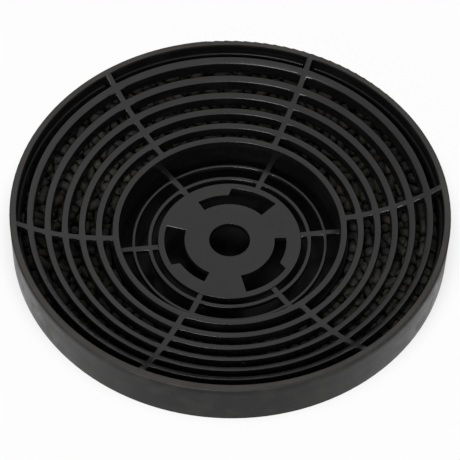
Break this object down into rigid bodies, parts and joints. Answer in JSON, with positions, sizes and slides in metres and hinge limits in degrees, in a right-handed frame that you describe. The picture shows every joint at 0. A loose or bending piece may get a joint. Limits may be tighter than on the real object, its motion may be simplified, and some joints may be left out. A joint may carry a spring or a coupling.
{
  "type": "cooker hood carbon filter",
  "caption": "Round black plastic cassette with a dished ring grille, a deep recess and a bayonet hub, filled with charcoal pellets; cleans the air in a recirculating cooker hood.",
  "frame": {"origin": "on the axis, in the plane that the back rests on", "axes": "+Z along the axis, from the domed back to the dished front; one wide bayonet entry starts 46 degrees round from +X"},
  "size_m": [0.175, 0.175, 0.037],
  "materials": {
    "black_plastic": "satin moulded",
    "charcoal": "rough"
  },
  "bodies": {
    "root": {"front_grille": "black_plastic", "back_cover": "black_plastic", "charcoal_pellets": "charcoal"}
  },
  "joints": []
}
